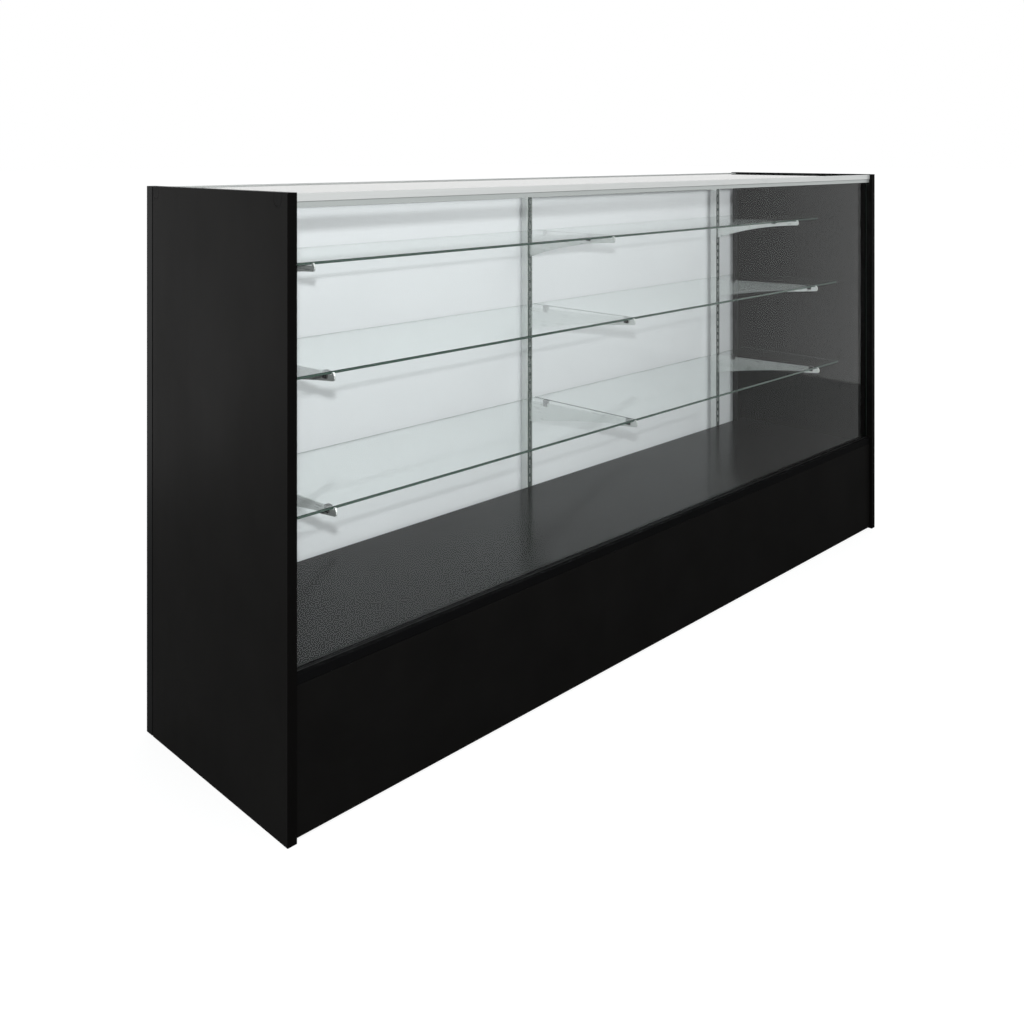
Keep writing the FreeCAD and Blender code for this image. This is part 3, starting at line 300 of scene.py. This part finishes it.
# Each node's material, by its name or by the start of its name.
FINISHES = {
    # One black laminate in lit and shaded copies: the lighter left end panel and stiles are
    # painted light, the darker right end panel and kick painted shade.
    "end_panel_left": laminate("black_laminate_left", (0.0066, 0.0062, 0.0059), 0.42, 0.033),
    "end_panel_right": laminate("black_laminate_right", (0.0037, 0.0035, 0.0033), 0.24, 0.04),
    "rear_stile_": laminate("black_laminate_stile", (0.007, 0.007, 0.0069), 0.4, 0.05),
    "deck_board": laminate("black_laminate_deck", BLACK, 0.18, 0.112),
    "kick_panel": laminate("black_laminate_kick", (0.005, 0.0048, 0.0046), 0.45, 0.015),
    "rear_base_panel": laminate("black_laminate_rear", BLACK, 0.36, 0.3),
    "rear_sill_board": laminate("black_laminate_sill", BLACK, 0.36, 0.3),
    "base_support": chipboard("bare_board_support"),
    "deck_cleat_": chipboard("bare_board_cleat"),
    # Painted shade: the front edge band is darker than the top edge band of the same banding.
    "front_edge_band_": plastic("edge_band_front", (0.003, 0.0028, 0.0027), 0.5, 0.01),
    "top_edge_band_": plastic("edge_band_top", (0.006, 0.006, 0.0065), 0.4, 0.03),
    "front_sill_rail": plastic("black_sill", (0.0035, 0.0035, 0.0037), 0.45, 0.01, 1400.0),
    "front_top_rail": rail_metal("satin_rail_front", LIP_TOP),
    "rear_top_rail": rail_metal("satin_rail_rear"),
    "door_top_track": rail_metal("satin_track_top"),
    "door_bottom_track": rail_metal("satin_track_bottom"),
    "door_jamb_": metal("black_anodised_jamb", (0.02, 0.02, 0.022), 0.4, JAMB_LINES,
                        metallic=0.3),
    "sill_glazing_channel": plastic("black_vinyl_sill", (0.012, 0.012, 0.012), 0.5, 0.3),
    "top_glazing_channel": plastic("black_vinyl_top", (0.012, 0.012, 0.012), 0.5, 0.3),
    # Painted shade: the front pane's cut edges are near black, as if in the shade of the channels
    # around them.
    "front_glass": pane("clear_glass_front", 1.165, (0.985, 0.992, 0.989, 1),
                        ((0.006, 0.014, 0.011, 1), (0.012, 0.025, 0.02, 1)),
                        0.4, "Y", GROUND_EDGE),
    # Painted reflection and light: the top pane's grey tint stands in for a grey wall it reflects,
    # and its pale cut edges are painted light.
    "top_glass": pane("clear_glass_top", 1.12, (0.91, 0.913, 0.908, 1),
                      ((0.4, 0.46, 0.44, 1), (0.55, 0.6, 0.58, 1)), 0.4, "Z", GROUND_EDGE),
    "shelf_": pane("clear_glass_shelf", 1.5, (0.985, 0.995, 0.991, 1),
                   ((0.028, 0.055, 0.044, 1), (0.05, 0.085, 0.068, 1)),
                   0.15, "Z", POLISHED_EDGE),
    "upright_left": post_metal("zinc_upright_left", "upright_left"),
    "upright_middle": post_metal("zinc_upright_middle", "upright_middle"),
    "upright_right": post_metal("zinc_upright_right", "upright_right"),
    "bracket_": metal("bright_zinc_bracket", (0.62, 0.64, 0.63), 0.32, LINES_ALONG_Y, 0.08, 0.5),
    "bracket_cushions": plastic("black_rubber", (0.03, 0.03, 0.03), 0.6, 0.3),
    "door_left": door_board("white_door_left"),
    "door_right": door_board("white_door_right"),
    "door_grip_": plastic("black_grip", (0.02, 0.02, 0.021), 0.45),
    "lock_barrel": metal("polished_lock", (0.72, 0.72, 0.73), 0.14, POLISH_GRAIN),
    "key_plug": metal("polished_plug", (0.66, 0.64, 0.58), 0.2, POLISH_GRAIN),
    "screw_covers": plastic("black_cover", (0.0055, 0.0052, 0.005), 0.42, 0.035),
    "rail_screws": metal("zinc_screw", (0.6, 0.6, 0.58), 0.35, CAST_GRAIN),
    "upright_screws": metal("zinc_post_screw", (0.6, 0.6, 0.58), 0.35, CAST_GRAIN),
    "cam_bolts": metal("zinc_bolt", (0.58, 0.58, 0.56), 0.38, CAST_GRAIN),
    "cam_locks": metal("cast_zinc", (0.5, 0.5, 0.51), 0.45, CAST_GRAIN),
    "base_dowels": beech("beech_base"),
    "stile_dowels": beech("beech_stile"),
}


def dress():
    """Gives every node the material with the longest name that fits it."""
    for name, thing in NODES.items():
        keys = [key for key in FINISHES
                if name == key or (key.endswith("_") and name.startswith(key))]
        thing.data.materials.clear()
        thing.data.materials.append(FINISHES[max(keys, key=len)])


def seen(tree, kinds):
    """1 for camera rays and the given kinds of ray, else 0."""
    light = tree.nodes.new("ShaderNodeLightPath")
    total = light.outputs["Is Camera Ray"]
    for kind in kinds:
        larger = tree.nodes.new("ShaderNodeMath")
        larger.operation = "MAXIMUM"
        tree.links.new(total, larger.inputs[0])
        tree.links.new(light.outputs[kind], larger.inputs[1])
        total = larger.outputs[0]
    return total


def floor():
    """A grey floor that shows white to the camera and through glass, and keeps the shadow.

    Gloss sees the grey paint near the case, and white further out, as if the floor ended at walls.
    """
    mesh = bpy.data.meshes.new("studio_floor")
    corners = [(-FLOOR_REACH, -FLOOR_REACH, 0), (FLOOR_REACH, -FLOOR_REACH, 0),
               (FLOOR_REACH, FLOOR_REACH, 0), (-FLOOR_REACH, FLOOR_REACH, 0)]
    mesh.from_pydata(corners, [], [(0, 1, 2, 3)])
    plane = bpy.data.objects.new("studio_floor", mesh)
    plane.location.z = -FLOOR_DROP
    SCENE.collection.objects.link(plane)
    s = Shader("pale_floor")
    paint = s.principled(s.blend(s.noise(0.4, 2.0), *FLOOR_PAINT), 0.9, 0.0, 0.0)
    x, y = s.axis("X"), s.axis("Y")
    out = s.math("MAXIMUM", s.math("SUBTRACT", x, WALL_RIGHT), s.math("SUBTRACT", y, WALL_BEHIND))
    out = s.math("MAXIMUM", out, s.math("SUBTRACT", WALL_FRONT, s.math("MINIMUM", x, y)))
    gloss = s.node("LightPath").outputs["Is Glossy Ray"]
    wall = s.math("MULTIPLY", s.ramp(out, 0.0, WALL_FADE), gloss)
    white = s.math("MULTIPLY", seen(s.tree, ("Is Transmission Ray",)), FLOOR_LIFT)
    lift = s.node("Emission", Color=(1, 1, 1, 1), Strength=s.math("MAXIMUM", white, wall))
    both = s.node("AddShader")
    s.put(both.inputs[0], paint)
    s.put(both.inputs[1], lift.outputs[0])
    mesh.materials.append(s.finish(both.outputs[0]))


def world():
    """A white studio to the camera, glass and metal, and even soft light on everything."""
    sky = bpy.data.worlds.new("studio")
    SCENE.world = sky
    sky.use_nodes = True
    tree = sky.node_tree
    tree.nodes.clear()
    both = tree.nodes.new("ShaderNodeMixShader")
    tree.links.new(seen(tree, ("Is Transmission Ray", "Is Glossy Ray")), both.inputs[0])
    for socket, (color, strength) in ((both.inputs[1], WORLD_SOFT), (both.inputs[2], WORLD_WHITE)):
        glow = tree.nodes.new("ShaderNodeBackground")
        glow.inputs["Color"].default_value = color
        glow.inputs["Strength"].default_value = strength
        tree.links.new(glow.outputs[0], socket)
    out = tree.nodes.new("ShaderNodeOutputWorld")
    tree.links.new(both.outputs[0], out.inputs["Surface"])


def area(name, place, target, side, power, color=(1, 1, 1)):
    """A square lamp at a place, turned to its target."""
    lamp = bpy.data.lights.new(name, "AREA")
    lamp.shape = "RECTANGLE"
    lamp.size = side
    lamp.size_y = side
    lamp.energy = power
    lamp.color = color
    thing = bpy.data.objects.new(name, lamp)
    thing.location = place
    thing.rotation_euler = (Vector(target) - Vector(place)).to_track_quat("-Z", "Y").to_euler()
    SCENE.collection.objects.link(thing)


def camera():
    lens = bpy.data.cameras.new("view")
    lens.sensor_fit = "HORIZONTAL"
    lens.sensor_width = SENSOR_WIDTH
    lens.lens = FOCAL_LENGTH
    lens.shift_x, lens.shift_y = LENS_SHIFT
    lens.dof.use_dof = False
    eye = bpy.data.objects.new("view", lens)
    eye.location = EYE
    eye.rotation_euler = (math.radians(90), 0, math.radians(EYE_YAW))
    SCENE.collection.objects.link(eye)
    SCENE.camera = eye


dress()
floor()
world()
camera()
# The flash stands just above the lens, and throws the brackets' shadows on the doors.
area("flash", (-1.756, -1.583, 1.175), (0.1, 0.1, 0.55), 0.045, 20.0, (0.97, 0.99, 1.0))
area("softbox", (0.7, -1.9, 2.3), (0.7, 0.21, 0.5), 1.6, 19.5)

SCENE.view_settings.view_transform = "Standard"
